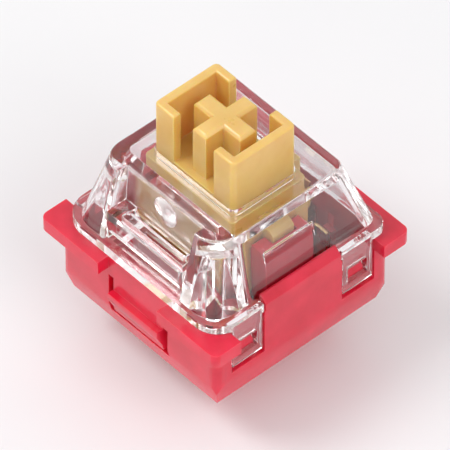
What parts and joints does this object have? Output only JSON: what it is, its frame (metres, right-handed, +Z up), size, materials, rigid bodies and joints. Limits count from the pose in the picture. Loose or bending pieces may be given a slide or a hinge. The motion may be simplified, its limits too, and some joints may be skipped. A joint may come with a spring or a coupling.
{
  "type": "mechanical keyboard switch",
  "caption": "Push switch for a keyboard key: a cross stem between two walls slides in a clear cover on a red base that snaps into a square hole.",
  "frame": {"origin": "centre of the locating post, level with the underside of the base where it meets the circuit board", "axes": "+Z up along the stem's stroke towards the keycap, +Y towards the solder pins, -Y towards the lamp bay"},
  "size_m": [0.0156, 0.0156, 0.0187],
  "materials": {
    "red_nylon": "smooth moulded",
    "clear_polycarbonate": "clear polished",
    "yellow_acetal": "satin moulded",
    "spring_steel": "drawn wire",
    "terminal_brass": "stamped strip",
    "contact_gold": "plated",
    "leaf_bronze": "thin rolled strip"
  },
  "bodies": {
    "housing": {"lower_housing": "red_nylon", "upper_housing": "clear_polycarbonate", "return_spring": "spring_steel", "fixed_terminal": "terminal_brass", "fixed_contact_bar": "contact_gold", "moving_terminal": "terminal_brass"},
    "stem": {"stem": "yellow_acetal"},
    "leaf": {"moving_leaf": "leaf_bronze", "moving_contact_bar": "contact_gold"}
  },
  "joints": [
    {"name": "stem_press", "type": "slide", "parent": "housing", "child": "stem", "axis": [0, 0, -1], "range_m": [0, 0.004], "stiffness_N_per_m": 75, "springref_m": -0.0047, "deforming": ["return_spring"]},
    {"name": "leaf_flex", "type": "hinge", "parent": "housing", "child": "leaf", "pos_m": [0, 0.00483, 0.00175], "axis": [1, 0, 0], "range_deg": [0, 5.21]}
  ],
  "couplings": [
    {"joint": "leaf_flex", "follows": "stem_press", "rad_per_m": 22.7}
  ]
}
